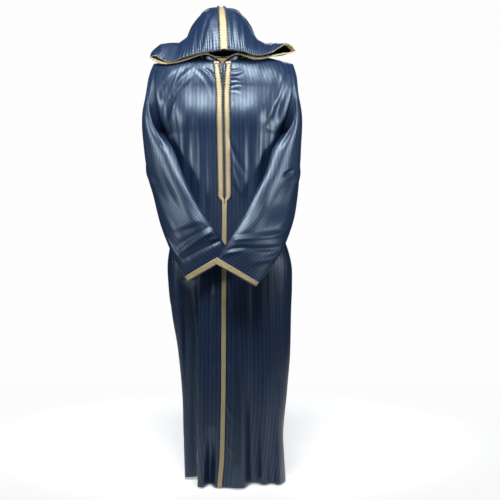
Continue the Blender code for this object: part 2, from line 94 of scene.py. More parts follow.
# Folds: where each lies across the hem, how wide it is on each side, how deep it is at the hem
# (plus goes in), the height where it dies out, how far it leans sideways there and how fast it fades
FOLD_COLUMNS = ("centre", "left_width", "right_width", "depth", "top", "lean", "fade")
FRONT_FOLDS = (
    (-0.108, 0.050, 0.027, 0.078, -0.76, 0.006, 0.45),
    (-0.062, 0.022, 0.026, -0.010, -0.90, 0.004, 0.8),
    (-0.042, 0.026, 0.024, 0.034, -1.24, 0.008, 1.0),
    (0.056, 0.045, 0.036, -0.020, -0.95, -0.010, 0.8),
    (0.104, 0.036, 0.050, 0.038, -0.84, -0.022, 2.0),
    (0.158, 0.030, 0.034, 0.018, -1.05, -0.004, 1.6),
    (0.190, 0.022, 0.022, -0.012, -1.10, 0.000, 0.8),
)
BACK_FOLDS = (
    (-0.095, 0.040, 0.045, -0.045, -0.55, 0.020, 0.8),
    (-0.030, 0.036, 0.036, 0.018, -0.80, 0.006, 0.8),
    (0.032, 0.040, 0.040, -0.040, -0.50, -0.004, 0.8),
    (0.098, 0.036, 0.040, 0.016, -0.85, -0.010, 0.8),
    (0.160, 0.038, 0.032, -0.042, -0.60, -0.022, 0.8),
)
HEM_RISE = 0.10

# The deep pleat: how far its cloth slides in under its edge, and from how far on the left
PLEAT_TUCK = 0.029
PLEAT_REACH = 0.019

# Sleeves: the outer edge, the inner edge, how far each section bulges out and in, and how far round
# from the front the bulge faces, in degrees
SLEEVE_COLUMNS = (
    "outer_x", "outer_y", "outer_z", "inner_x", "inner_y", "inner_z", "out", "inside", "facing",
)
SLEEVES = {
    -1: (
        (-0.233, 0.000, -0.028, -0.194, 0.000, -0.275, 0.060, 0.060, 0),
        (-0.248, 0.004, -0.068, -0.222, -0.018, -0.278, 0.060, 0.058, 4),
        (-0.254, 0.014, -0.165, -0.208, -0.062, -0.272, 0.058, 0.036, 12),
        (-0.252, 0.026, -0.290, -0.164, -0.094, -0.326, 0.052, 0.010, 32),
        (-0.245, 0.026, -0.400, -0.128, -0.124, -0.413, 0.048, 0.008, 46),
        (-0.227, -0.002, -0.480, -0.083, -0.148, -0.503, 0.042, 0.006, 46),
        (-0.197, -0.072, -0.588, -0.035, -0.162, -0.574, 0.040, 0.010, 38),
        (-0.157, -0.128, -0.680, 0.004, -0.164, -0.633, 0.028, 0.012, 24),
        (-0.107, -0.160, -0.759, 0.031, -0.162, -0.681, 0.018, 0.014, 8),
    ),
    1: (
        (0.236, 0.000, -0.028, 0.196, 0.000, -0.275, 0.060, 0.060, 0),
        (0.248, 0.004, -0.068, 0.232, -0.018, -0.278, 0.060, 0.058, 4),
        (0.248, 0.014, -0.165, 0.213, -0.062, -0.272, 0.058, 0.036, 12),
        (0.245, 0.026, -0.290, 0.170, -0.094, -0.326, 0.052, 0.010, 32),
        (0.247, 0.026, -0.400, 0.141, -0.124, -0.413, 0.048, 0.008, 46),
        (0.245, -0.002, -0.490, 0.094, -0.158, -0.505, 0.042, 0.006, 46),
        (0.2280, -0.070, -0.580, 0.0553, -0.196, -0.5755, 0.040, 0.010, 38),
        (0.1830, -0.160, -0.683, 0.0160, -0.222, -0.640, 0.028, 0.012, 24),
        (0.1090, -0.222, -0.773, -0.020, -0.226, -0.701, 0.018, 0.014, 8),
    ),
}

# The number of the last section, at the cuff, and about how far apart the sections are
SLEEVE_LAST = 8
SLEEVE_STEP = 0.105

# Hood: sections from the front rim back to the rear seam. Each runs from the centre seam over the
# crown, out to the wing tip, and back under to the neck seam
RIM = {
    -1: (
        (0.000, -0.120, -0.004), (0.054, -0.114, -0.012), (0.104, -0.098, -0.018),
        (0.180, -0.078, -0.034), (0.226, -0.046, -0.008), (0.2445, -0.026, -0.013),
        (0.199, -0.062, -0.039), (0.140, -0.076, -0.036), (0.056, -0.088, -0.014),
    ),
    1: (
        (0.000, -0.120, -0.004), (0.060, -0.115, -0.009), (0.110, -0.101, -0.019),
        (0.161, -0.072, -0.002), (0.212, -0.034, 0.034), (0.243, -0.012, 0.012),
        (0.190, -0.048, -0.007), (0.112, -0.074, -0.027), (0.050, -0.088, -0.014),
    ),
}
HOOD_ROWS = (
    (0.25, (
        (0.000, -0.088, 0.082), (0.052, -0.078, 0.076), (0.094, -0.058, 0.054),
        (0.140, -0.036, 0.034), (0.190, -0.018, 0.036), (0.228, 0.000, 0.012),
        (0.180, -0.018, 0.002), (0.125, -0.026, 0.008), (0.084, -0.040, 0.016))),
    (0.50, (
        (0.000, -0.046, 0.140), (0.050, -0.036, 0.134), (0.092, -0.020, 0.092),
        (0.124, -0.004, 0.046), (0.160, 0.008, 0.040), (0.202, 0.020, 0.012),
        (0.164, 0.016, 0.002), (0.124, 0.014, 0.010), (0.092, 0.006, 0.022))),
    (0.75, (
        (0.000, 0.006, 0.166), (0.048, 0.010, 0.157), (0.086, 0.020, 0.112),
        (0.106, 0.030, 0.060), (0.122, 0.040, 0.034), (0.134, 0.046, 0.016),
        (0.112, 0.044, 0.012), (0.092, 0.042, 0.016), (0.072, 0.044, 0.020))),
    (1.00, (
        (0.000, 0.074, 0.158), (0.000, 0.084, 0.138), (0.000, 0.090, 0.112),
        (0.000, 0.091, 0.086), (0.000, 0.088, 0.062), (0.000, 0.083, 0.044),
        (0.000, 0.077, 0.031), (0.000, 0.070, 0.022), (0.000, 0.064, 0.016))),
)

# A hood half laid flat is about so deep and wide. The front part of its neck seam lies on the front panels.
# The centre seam wanders sideways from rim to rear, and the left half spreads a little wider
HOOD_DEEP = 0.28
HOOD_WIDE = 0.55
NECK_FRONT_PART = 0.55
HOOD_CENTRE = ((0.007,), (0.003,), (-0.002,), (-0.006,), (-0.004,))
HOOD_SPREAD = {-1: 1.06, 1: 1.0}

# Placket braids: their edges from the centre line, how high they lie, their splay at the neck and tops
PLACKET_INNER = 0.0032
PLACKET_OUTER = 0.0204
PLACKET_LAY = LAY + SEAM + 0.0004
PLACKET_SPLAY = 0.0115
PLACKET_TOP = -0.038
CLOSURE_TOP = -0.060
TAB_HEIGHT = 0.007

# Other braids; the tip gap is between the placket's point and the skirt braid, and the lip is how far
# the rim braid turns out past the rim
SKIRT_BRAID_HALF = 0.0073
TIP_GAP = 0.0010
CUFF_BRAID_WIDTH = 0.016
CUFF_LAY = 0.0018
HOOD_BRAID_HALF = {"rim": 0.0130, "tip": 0.0095}
HOOD_BRAID_LENGTH = 0.27
HOOD_BRAID_REACH = 0.8
RIM_BRAID_WIDTH = 0.012
RIM_LIP = 0.0026

# Gaps at the hood's centre, the neck seam, the armholes and the side seams (this one is a turn)
HOOD_GAP = 0.0001
NECK_SEAM_LIFT = 0.0012
ARMHOLE_GAP = 0.0014
SIDE_SEAM_TURN = 0.003

# Neck facing: its bottom edge and how far inside the back it lies
FACING_BOTTOM = -0.105
FACING_DEPTH = 0.004

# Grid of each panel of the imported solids, which the trims are laid on
LOWER_ROWS = 16
CHEST_ROWS = 4
SHOULDER_ROWS = 4
PANEL_ROWS = LOWER_ROWS + CHEST_ROWS + SHOULDER_ROWS

# Every crease runs out past its ends over a share of its length. The fainter ridge or trough beside it
# lies so many widths away, with a share of its height, on the body and on cloth laid flat
CREASE_RUNOUT = 0.15
BESIDE_AWAY = 1.7
BESIDE_SHARE = {"body": 0.4, "flat": 0.35}
BODY_CREASE_REACH = 3.5

# Slow unevenness of the hanging cloth, and the finer kind on the body
UNEVEN = {"body": 0.0016, "fine": 0.0007, "sleeve": 0.0014, "hood": 0.0020}

# Creases drawn on the robe as seen from the front: where each starts and ends, how far it bows, how wide
# it is and how high it stands (minus is a trough)
CREASE_COLUMNS = ("x0", "z0", "x1", "z1", "bow", "width", "height")
FRONT_CREASES = (
    # from the left shoulder down towards the armpit and the chest
    (-0.128, -0.066, -0.205, -0.185, 0.016, 0.010, -0.0030),
    (-0.108, -0.070, -0.190, -0.215, 0.014, 0.008, 0.0024),
    (-0.145, -0.072, -0.170, -0.150, 0.004, 0.005, 0.0016),
    (-0.096, -0.100, -0.176, -0.240, 0.012, 0.007, -0.0022),
    (-0.205, -0.100, -0.150, -0.290, -0.010, 0.012, -0.0026),
    # fine pulls at the top of the left placket braid
    (-0.058, -0.062, -0.030, -0.096, -0.004, 0.0040, -0.0022),
    (-0.072, -0.064, -0.031, -0.116, -0.006, 0.0040, 0.0020),
    (-0.085, -0.068, -0.034, -0.150, -0.008, 0.0050, -0.0018),
    (-0.046, -0.060, -0.029, -0.078, -0.003, 0.0035, 0.0018),
    # creases beside the right placket braid
    (0.028, -0.070, 0.070, -0.060, 0.004, 0.0040, -0.0026),
    (0.028, -0.082, 0.064, -0.076, 0.004, 0.0038, 0.0018),
    (0.028, -0.104, 0.058, -0.108, -0.003, 0.0042, -0.0024),
    (0.028, -0.126, 0.062, -0.118, -0.005, 0.0042, -0.0022),
    (0.028, -0.137, 0.058, -0.142, -0.004, 0.0040, -0.0020),
    (0.028, -0.200, 0.048, -0.330, 0.012, 0.0060, 0.0040),
    (0.026, -0.270, 0.070, -0.400, 0.010, 0.0070, -0.0040),
    (0.030, -0.360, 0.060, -0.470, 0.008, 0.0070, 0.0036),
    # folds that hang from the chest
    (-0.162, -0.190, -0.160, -0.420, 0.004, 0.010, -0.0034),
    (-0.138, -0.215, -0.130, -0.440, -0.004, 0.011, 0.0018),
    (-0.104, -0.235, -0.106, -0.520, 0.005, 0.012, -0.0022),
    (-0.076, -0.240, -0.068, -0.500, -0.006, 0.010, 0.0016),
    (-0.048, -0.220, -0.050, -0.600, 0.006, 0.010, -0.0018),
    (0.086, -0.240, 0.080, -0.520, -0.004, 0.011, -0.0022),
    (0.112, -0.235, 0.112, -0.480, 0.004, 0.010, 0.0018),
    (0.142, -0.215, 0.134, -0.430, -0.006, 0.010, -0.0026),
    (0.168, -0.190, 0.158, -0.380, -0.008, 0.011, 0.0022),
    # the slanting fold from the right shoulder to the armpit, with a hollow beside it
    (0.205, -0.075, 0.146, -0.235, -0.010, 0.009, 0.0026),
    (0.222, -0.100, 0.166, -0.240, -0.008, 0.018, -0.0070),
    # soft folds and creases of the skirt, from under the sleeves to the hem
    (-0.020, -0.740, -0.028, -1.020, 0.004, 0.007, 0.0030),
    (-0.034, -0.760, -0.046, -1.240, 0.006, 0.009, -0.0034),
    (0.022, -0.730, 0.034, -0.930, -0.005, 0.006, -0.0028),
    (0.074, -0.800, 0.070, -1.430, 0.006, 0.012, 0.0040),
    (0.100, -0.800, 0.092, -1.430, -0.004, 0.010, -0.0040),
    (0.132, -0.780, 0.150, -1.430, 0.004, 0.014, 0.0036),
    (-0.126, -0.800, -0.136, -1.430, -0.004, 0.010, -0.0030),
    (-0.070, -0.780, -0.076, -1.430, 0.004, 0.010, 0.0030),
    (0.176, -0.770, 0.196, -1.400, 0.003, 0.012, -0.0030),
    (-0.155, -0.700, -0.150, -1.100, 0.004, 0.010, 0.0030),
    # short curved pulls beside the narrow braid
    (-0.030, -0.950, 0.000, -0.925, 0.006, 0.0045, 0.0042),
    (-0.036, -0.985, -0.024, -0.945, 0.003, 0.0050, -0.0030),
    (-0.034, -0.810, -0.012, -0.795, 0.003, 0.0040, 0.0032),
    (-0.028, -0.845, -0.004, -0.858, 0.003, 0.0040, 0.0024),
    (0.018, -0.772, 0.038, -0.760, -0.003, 0.0040, 0.0034),
    (0.018, -0.850, 0.036, -0.862, -0.003, 0.0040, 0.0032),
    (0.020, -0.905, 0.034, -0.975, 0.004, 0.0045, -0.0028),
    (0.018, -1.010, 0.036, -1.060, 0.004, 0.0045, 0.0026),
    (-0.030, -1.040, -0.006, -1.020, 0.004, 0.0045, 0.0024),
    (0.014, -1.150, 0.036, -1.210, 0.004, 0.0045, 0.0024),
    (0.010, -1.270, 0.040, -1.330, 0.004, 0.0050, 0.0024),
)
BACK_CREASES = (
    # from the shoulder blades down and in to the waist
    (-0.170, -0.060, -0.120, -0.300, 0.016, 0.012, -0.0050),
    (-0.140, -0.080, -0.085, -0.360, 0.014, 0.010, 0.0040),
    (0.165, -0.060, 0.125, -0.280, -0.014, 0.012, -0.0046),
    (0.135, -0.090, 0.080, -0.380, -0.012, 0.010, 0.0040),
    (-0.050, -0.160, -0.046, -0.520, 0.006, 0.010, -0.0040),
    (0.000, -0.200, 0.006, -0.620, -0.006, 0.011, 0.0040),
    (0.052, -0.170, 0.050, -0.560, 0.006, 0.010, -0.0040),
    (0.105, -0.260, 0.100, -0.620, 0.004, 0.010, 0.0036),
    (-0.104, -0.260, -0.100, -0.640, -0.004, 0.010, 0.0036),
    # soft folds of the skirt at the back
    (-0.130, -0.620, -0.150, -1.430, 0.006, 0.014, -0.0050),
    (-0.062, -0.640, -0.070, -1.430, -0.006, 0.013, 0.0046),
    (0.000, -0.660, 0.002, -1.430, 0.006, 0.014, -0.0046),
    (0.066, -0.640, 0.062, -1.430, -0.004, 0.013, 0.0046),
    (0.130, -0.620, 0.130, -1.430, 0.004, 0.014, -0.0050),
)

# Broad fullness of the chest and the shoulder blades, as seen from the front: centre, spread and height
FULLNESS_COLUMNS = ("x", "z", "spread_x", "spread_z", "height")
FRONT_FULLNESS = (
    (-0.090, -0.228, 0.075, 0.056, 0.0120),
    (0.088, -0.226, 0.062, 0.056, 0.0120),
    (0.182, -0.190, 0.022, 0.070, -0.0070),
)
BACK_FULLNESS = (
    (-0.100, -0.180, 0.060, 0.070, 0.0060),
    (0.100, -0.180, 0.060, 0.070, 0.0060),
)

# Creases on the sleeves and the hood, on cloth laid flat: where each starts and ends, how wide it is and
# how high it stands. On a sleeve across is round it, from 0 at the outer edge over the front to 1 at the
# inner edge, and along counts its sections
FLAT_CREASE_COLUMNS = ("across0", "along0", "across1", "along1", "width", "height")
BOTH_SLEEVE_CREASES = (
    # soft drag lines under the shoulder and at the elbow
    (0.20, 0.50, 0.55, 1.90, 0.012, -0.0026),
    (0.06, 3.60, 0.40, 4.40, 0.014, 0.0026),
    # the inner side
    (1.30, 1.00, 1.65, 3.00, 0.012, -0.0036),
    (1.25, 4.00, 1.70, 5.40, 0.012, 0.0030),
)
SLEEVE_CREASES = {
    -1: (
        # a drag line towards the elbow
        (0.55, 1.60, 0.80, 3.00, 0.012, -0.0030),
        # the long soft fold down the forearm
        (0.34, 3.00, 0.40, 6.20, 0.016, 0.0030),
        (0.62, 3.40, 0.60, 6.00, 0.016, -0.0026),
        # the bright fold over the wrist and the hollow below it
        (0.34, 6.95, 0.92, 6.35, 0.012, 0.0064),
        (0.30, 7.20, 0.84, 6.95, 0.010, -0.0060),
        (0.42, 6.30, 0.78, 6.05, 0.012, -0.0024),
        (0.16, 6.40, 0.26, 7.70, 0.009, 0.0026),
    ),
    1: (
        (0.60, 1.50, 0.82, 2.90, 0.012, -0.0030),
        # the dent at the middle of the sleeve
        (0.52, 3.92, 0.64, 4.06, 0.009, -0.0056),
        (0.36, 3.20, 0.40, 6.40, 0.016, 0.0030),
        (0.60, 4.60, 0.58, 6.20, 0.016, -0.0024),
        # the folds over the wrist
        (0.30, 6.30, 0.80, 6.75, 0.012, 0.0054),
        (0.26, 6.75, 0.72, 7.10, 0.010, -0.0050),
        (0.14, 6.90, 0.40, 7.35, 0.009, 0.0046),
        (0.60, 7.05, 0.86, 7.50, 0.008, 0.0036),
    ),
}

# Puckers at the cuffs and along the hood's rim
CUFF_PUCKER = {-1: 0.0008, 1: 0.0019}
PUCKER_PITCH = 0.009
RIM_PUCKER = 0.0026

# On a hood half across runs back from the rim to the rear seam, and along from the centre to the neck
HOOD_CREASES = {
    -1: (
        (0.06, 0.16, 0.55, 0.06, 0.008, -0.0021),
        (0.06, 0.22, 0.42, 0.20, 0.008, 0.0022),
        (0.05, 0.30, 0.40, 0.36, 0.010, -0.0025),
        (0.10, 0.06, 0.75, 0.14, 0.009, 0.0019),
        (0.04, 0.38, 0.34, 0.50, 0.009, 0.0022),
        (0.60, 0.05, 0.80, 0.34, 0.010, -0.0022),
    ),
    1: (
        (0.06, 0.07, 0.50, 0.08, 0.008, -0.0019),
        (0.06, 0.14, 0.60, 0.18, 0.009, 0.0025),
        (0.05, 0.24, 0.42, 0.30, 0.010, -0.0025),
        (0.04, 0.33, 0.30, 0.44, 0.009, 0.0022),
        (0.55, 0.04, 0.82, 0.30, 0.010, -0.0022),
    ),
}

# The side gore of the skirt: where its slanted stripes start and how much they lean
GORE_TOP = -0.74
GORE_LEAN = 0.16

# Knots of the closure and catch stitches along the braids: spacing, then half length, width and height
KNOT_PITCH = 0.0065
KNOT_SIZE = (0.0040, 0.0022, 0.0017)
STITCH_PITCH = 0.0085
STITCH_SIZE = (0.0048, 0.0022, 0.0016)
HOOD_STITCH_SIZE = (0.0050, 0.0022, 0.0018)

# Pitch of the satin's stripes and weave, of the braid's herringbone rows and of its threads
STRIPE_PITCH = 0.0132
WEAVE_PITCH = 0.0009
HERRINGBONE = 0.004
BRAID_THREAD = 0.0016

# The floor: half its width, and how far its middle lies behind the robe
FLOOR_REACH = 1.50
FLOOR_BACK = 0.72


# Shapes of the pieces

def smooth_row(rows, position):
    # A smooth curve through evenly numbered rows, read at a fractional row number
    last = len(rows) - 1
    position = min(max(position, 0.0), float(last))
    step = min(int(position), last - 1)
    part = position - step
    before = rows[max(step - 1, 0)]
    start = rows[step]
    end = rows[step + 1]
    after = rows[min(step + 2, last)]
    result = []
    for a, b, c, d in zip(before, start, end, after):
        slope_in = (c - a) / 2
        slope_out = (d - b) / 2
        value = (2 * part ** 3 - 3 * part ** 2 + 1) * b + (part ** 3 - 2 * part ** 2 + part) * slope_in
        value += (3 * part ** 2 - 2 * part ** 3) * c + (part ** 3 - part ** 2) * slope_out
        result.append(value)
    return result


def body_ring(height):
    # Named sizes of the ring at a height, eased between the rows of the table
    height = min(max(height, BODY[0][0]), BODY[-1][0])
    for index in range(len(BODY) - 1):
        if height <= BODY[index + 1][0]:
            share = (height - BODY[index][0]) / (BODY[index + 1][0] - BODY[index][0])
            return dict(zip(BODY_COLUMNS, smooth_row(BODY, index + share)))
    return dict(zip(BODY_COLUMNS, BODY[-1]))


def fold_depth(folds, x, height):
    total = 0.0
    for row in folds:
        fold = dict(zip(FOLD_COLUMNS, row))
        rise = (height - HEM) / (fold["top"] - HEM)
        if rise >= 1.0:
            continue
        offset = x - fold["centre"] - fold["lean"] * rise
        width = fold["left_width"] if offset < 0 else fold["right_width"]
        if abs(offset) < width:
            across = (math.cos(math.pi * offset / width) + 1) / 2
            total += fold["depth"] * (1 - rise) ** fold["fade"] * across
    return total


def pleat_tuck(x, height):
    # How far the cloth of the deep pleat slides in under the pleat's edge
    fold = dict(zip(FOLD_COLUMNS, FRONT_FOLDS[0]))
    rise = (height - HEM) / (fold["top"] - HEM)
    offset = x - fold["centre"] - fold["lean"] * rise
    if rise >= 1.0:
        return 0.0
    reach = fold["right_width"] if offset > 0 else PLEAT_REACH
    share = max(1 - abs(offset) / reach, 0.0)
    return PLEAT_TUCK * min((1 - rise) * 3, 1.0) * math.sin(math.pi / 2 * share) ** 0.8


def armhole_depth(height, softness=0.0):
    middle = (SHOULDER_TIP + ARMPIT) / 2
    half = (SHOULDER_TIP - ARMPIT) / 2
    share = min(abs((height - middle) / half), 1.0)
    return ARMHOLE_HALF_DEPTH * (1 - share ** 2) ** (0.5 + softness)


def slit(height):
    # Half width of the front opening: a narrow V at the neck, closed below
    rise = (height - CHEST_TOP) / -CHEST_TOP
    open_share = max(0.0, (rise - SLIT_START) / (1 - SLIT_START))
    return SEAM / 2 + SLIT_HALF_WIDTH * open_share ** 0.8


def top_edge(side, turn, front_facing, gap):
    # The neckline, then the shoulder seam out to the shoulder tip
    facing = -1 if front_facing else 1
    neck_y = NECK_FRONT_DEPTH if front_facing else NECK_BACK_DEPTH
    neck_z = NECK_FRONT if front_facing else NECK_BACK
    if turn < NECK_SHARE:
        angle = turn / NECK_SHARE * math.pi / 2
        x = gap + (NECK_HALF_WIDTH - gap) * math.sin(angle)
        y = neck_y * math.cos(angle) + facing * SEAM / 2
        z = NECK_SIDE + (neck_z - NECK_SIDE) * math.cos(angle)
        return Vector((side * x, y, z))
    share = (turn - NECK_SHARE) / (1 - NECK_SHARE)
    x = NECK_HALF_WIDTH + (SHOULDER_REACH[side] - NECK_HALF_WIDTH) * share
    z = NECK_SIDE + (SHOULDER_TIP - NECK_SIDE) * share
    return Vector((side * x, facing * SEAM / 2, z))


def body_point(side, turn, height):
    # turn goes round from 0 at the centre front by 1 at the side to 2 at the centre back
    front_facing = turn <= 1
    around = turn if front_facing else 2 - turn
    ring = body_ring(height)
    reach = ring["left"] if side < 0 else ring["right"]
    middle = ring["centre"] if front_facing else 0.0
    middle *= 1 - around
    gap = slit(height) if front_facing else 0.0
    angle = around * math.pi / 2
    across = gap + (reach - gap) * math.sin(angle) ** ROUND_ACROSS
    x = middle + side * across
    deep = ring["front"] if front_facing else ring["back"]
    inward = max(math.cos(angle), 0.0) ** ROUND_DEEP
    edge = 0.0
    if height > ARMPIT:
        edge = armhole_depth(min(height, CHEST_TOP), 1.2 * inward) * (-1 if front_facing else 1)
    y = edge + (deep - edge) * inward
    if height <= CHEST_TOP:
        depth = fold_depth(FRONT_FOLDS, x, height)
        tuck = pleat_tuck(x, height)
        if not front_facing:
            side_share = max(0.0, 1 - (1 - around) / 0.35)
            depth = depth * side_share - fold_depth(BACK_FOLDS, x, height) * (1 - side_share)
            tuck *= side_share
        low = max(0.0, (-1.30 - height) / (-1.30 - HEM))
        return Vector((x + tuck, y + depth, height + HEM_RISE * abs(depth) * low))
    rise = (height - CHEST_TOP) / -CHEST_TOP
    top = top_edge(side, around, front_facing, gap)
    lift = math.sin(rise * math.pi / 2)
    lean = 1 - math.cos(rise * math.pi / 2)
    across = x + (top.x - x) * rise
    return Vector((across, y + (top.y - y) * lean, CHEST_TOP + (top.z - CHEST_TOP) * lift))


def row_height(row):
    # Height of a panel row, which may be fractional: evenly spaced within each of the three parts
    if row <= LOWER_ROWS:
        return HEM + (ARMPIT - HEM) * row / LOWER_ROWS
    if row <= LOWER_ROWS + CHEST_ROWS:
        return ARMPIT + (CHEST_TOP - ARMPIT) * (row - LOWER_ROWS) / CHEST_ROWS
    return CHEST_TOP * (1 - (row - LOWER_ROWS - CHEST_ROWS) / SHOULDER_ROWS)


def front_edge(side, height):
    # The turn at which the front panel ends: the side seam, or the armhole above it
    if height > ARMPIT + 0.001:
        return 1.0
    return body_ring(height)["seam_left" if side < 0 else "seam_right"] - SIDE_SEAM_TURN


def front_turn(side, height, offset):
    # The turn at which the front cloth is a given distance from the centre line
    ring = body_ring(height)
    reach = ring["left"] if side < 0 else ring["right"]
    gap = slit(height)
    share = max(offset - gap, 0.0) / (reach - gap)
    return math.asin(min(share, 1.0) ** (1 / ROUND_ACROSS)) * 2 / math.pi


def armhole_point(side, angle, distance):
    # The edge of the body at the armhole: 0 is the shoulder tip and pi the armpit
    down = 1 - abs(1 - (angle / math.pi) % 2)
    height = row_height(PANEL_ROWS - down * (CHEST_ROWS + SHOULDER_ROWS))
    turn = 1.0 if math.sin(angle) >= 0 else 1.0001
    return body_point(side, turn, min(height, -0.0001)) + Vector((side * distance, 0.0, 0.0))


def sleeve_frame(side, position):
    row = dict(zip(SLEEVE_COLUMNS, smooth_row(SLEEVES[side], position)))
    outer = Vector((row["outer_x"], row["outer_y"], row["outer_z"]))
    inner = Vector((row["inner_x"], row["inner_y"], row["inner_z"]))
    angle = math.radians(row["facing"])
    along = (outer - inner).normalized()
    bulge = Vector((side * math.sin(angle), -math.cos(angle), 0.0))
    bulge = (bulge - along * bulge.dot(along)).normalized()
    return outer, inner, bulge, row["out"], row["inside"]


def sleeve_point(side, angle, position):
    # angle 0 is the outer edge, pi the inner edge; the first half turn is the outside of the fold
    outer, inner, bulge, out, inside = sleeve_frame(side, position)
    half = (outer - inner) / 2
    depth = out if math.sin(angle) >= 0 else inside
    point = (outer + inner) / 2 + half * math.cos(angle) + bulge * depth * math.sin(angle)
    if position < 1:
        start = armhole_point(side, angle, ARMHOLE_GAP)
        return start.lerp(point, position)
    return point


def neck_seam(side, share):
    # The neckline from the front opening (0) to the centre back (1), just above the body
    if share < NECK_FRONT_PART:
        turn = share / NECK_FRONT_PART * NECK_SHARE
        edge = top_edge(side, turn, True, SLIT_HALF_WIDTH)
    else:
        turn = (1 - share) / (1 - NECK_FRONT_PART) * NECK_SHARE
        edge = top_edge(side, turn, False, SEAM / 2)
    return edge + Vector((0.0, 0.0, NECK_SEAM_LIFT))


def hood_point(side, back, round_share):
    # back: 0 at the rim, 1 at the rear seam. round_share: 0 at the centre seam, 1 at the neck seam
    sections = [(0.0, RIM[side])] + list(HOOD_ROWS)
    columns = []
    for share, stations in sections:
        neck = neck_seam(side, share)
        spread = HOOD_SPREAD[side] if share > 0 else 1.0
        points = [(spread * x, y, z) for x, y, z in stations] + [(abs(neck.x), neck.y, neck.z)]
        columns.append(smooth_row(points, round_share * (len(points) - 1)))
    x, y, z = smooth_row(columns, back * (len(columns) - 1))
    shift = smooth_row(HOOD_CENTRE, back * (len(columns) - 1))[0] * (1 - round_share) ** 2
    return Vector((side * max(x, HOOD_GAP) + shift, y, z))


# Relief: creases, pulls and puckers that stand on the shapes above

def ease(value, low, high):
    share = min(max((value - low) / (high - low), 0.0), 1.0)
    return share * share * (3 - 2 * share)


def crease_lift(crease, start, end, x, y, beside, reach=math.inf):
    # A crease from start to end, which may bow: a ridge or trough with a fainter one beside it
    run_x = end[0] - start[0]
    run_y = end[1] - start[1]
    length = math.hypot(run_x, run_y)
    part = ((x - start[0]) * run_x + (y - start[1]) * run_y) / length ** 2
    if part < -CREASE_RUNOUT or part > 1 + CREASE_RUNOUT:
        return 0.0
    off = ((x - start[0]) * run_y - (y - start[1]) * run_x) / length
    off = (off - crease["bow"] * 4 * part * (1 - part)) / crease["width"]
    if abs(off) > reach:
        return 0.0
    share = (part + CREASE_RUNOUT) / (1 + 2 * CREASE_RUNOUT)
    ends = math.sin(math.pi * min(max(share, 0.0), 1.0)) ** 0.7
    return crease["height"] * ends * (math.exp(-off * off) - beside * math.exp(-(off - BESIDE_AWAY) ** 2))


def body_creases(table, x, z):
    total = 0.0
    for row in table:
        crease = dict(zip(CREASE_COLUMNS, row))
        start = (crease["x0"], crease["z0"])
        end = (crease["x1"], crease["z1"])
        total += crease_lift(crease, start, end, x, z, BESIDE_SHARE["body"], BODY_CREASE_REACH)
    return total


def flat_creases(table, wide, long, across, along):
    # The creases of a sleeve or a hood half, on its cloth laid flat to the given sizes
    total = 0.0
    for row in table:
        crease = dict(zip(FLAT_CREASE_COLUMNS, row), bow=0.0)
        start = (crease["across0"] * wide, crease["along0"] * long)
        end = (crease["across1"] * wide, crease["along1"] * long)
        total += crease_lift(crease, start, end, across * wide, along * long, BESIDE_SHARE["flat"])
    return total


def fullness(table, x, z):
    total = 0.0
    for row in table:
        spot = dict(zip(FULLNESS_COLUMNS, row))
        far = ((x - spot["x"]) / spot["spread_x"]) ** 2 + ((z - spot["z"]) / spot["spread_z"]) ** 2
        total += spot["height"] * math.exp(-far)
    return total


def drift(x, y, z, seed):
    # Slow unevenness of cloth that hangs, between -1 and 1
    return noise.noise(Vector((x, y, z + seed * 7.3)))


def body_normal(side, turn, height):
    step = 0.004
    along = body_point(side, min(turn + step, 2.0), height)
    along = along - body_point(side, max(turn - step, 0.0), height)
    up = body_point(side, turn, min(height + step, -0.001))
    up = up - body_point(side, turn, max(height - step, HEM))
    return along.cross(up).normalized() * side


def body_relief(turn, height, here, normal):
    facing = ease(abs(normal.y), 0.10, 0.55)
    table = FRONT_CREASES if turn <= 1 else BACK_CREASES
    total = body_creases(table, here.x, here.z) * facing
    total += fullness(FRONT_FULLNESS if turn <= 1 else BACK_FULLNESS, here.x, here.z) * facing
    total += UNEVEN["body"] * drift(here.x * 26, here.y * 10, here.z * 3.2, 1) * facing
    total += UNEVEN["fine"] * drift(here.x * 60, here.y * 30, here.z * 9, 2)
    edge = 1.0
    if height > ARMPIT - 0.03:
        edge = ease(abs(1 - turn), 0.0, 0.16)
    neck = ease(-height, 0.0, 0.03)
    return total * edge * neck


def body_surface(side, turn, height, distance=0.0):
    here = body_point(side, turn, height)
    normal = body_normal(side, turn, height)
    return here + normal * (body_relief(turn, height, here, normal) + distance)


def sleeve_normal(side, angle, position):
    step = 0.02
    low = max(position - step, 0.02)
    high = min(position + step, SLEEVE_LAST)
    around = sleeve_point(side, angle + step, position) - sleeve_point(side, angle - step, position)
    along = sleeve_point(side, angle, high) - sleeve_point(side, angle, low)
    return around.cross(along).normalized() * side


def sleeve_relief(side, angle, position):
    outer, inner, _, _, _ = sleeve_frame(side, position)
    across = (outer - inner).length * 1.2
    turn = (angle / math.pi) % 2
    table = BOTH_SLEEVE_CREASES + SLEEVE_CREASES[side]
    total = flat_creases(table, across, SLEEVE_STEP, turn, position)
    total += UNEVEN["sleeve"] * drift(math.cos(angle) * 2.2, math.sin(angle) * 2.2, position * 0.7, 3 + side)
    place = turn * across / PUCKER_PITCH
    pull = math.sin(2 * math.pi * (place + 0.5 * drift(place * 0.5, side, position * 1.5, 4)))
    near = math.exp(-max(SLEEVE_LAST - 0.17 - position, 0.0) / 0.16)
    shown = ease(math.sin(angle), 0.1, 0.5) * ease(SLEEVE_LAST - position, 0.0, 0.22)
    total += CUFF_PUCKER[side] * pull * near * shown
    return total * ease(position, 0.05, 0.8)


def sleeve_surface(side, angle, position, distance=0.0):
    normal = sleeve_normal(side, angle, position)
    return sleeve_point(side, angle, position) + normal * (sleeve_relief(side, angle, position) + distance)


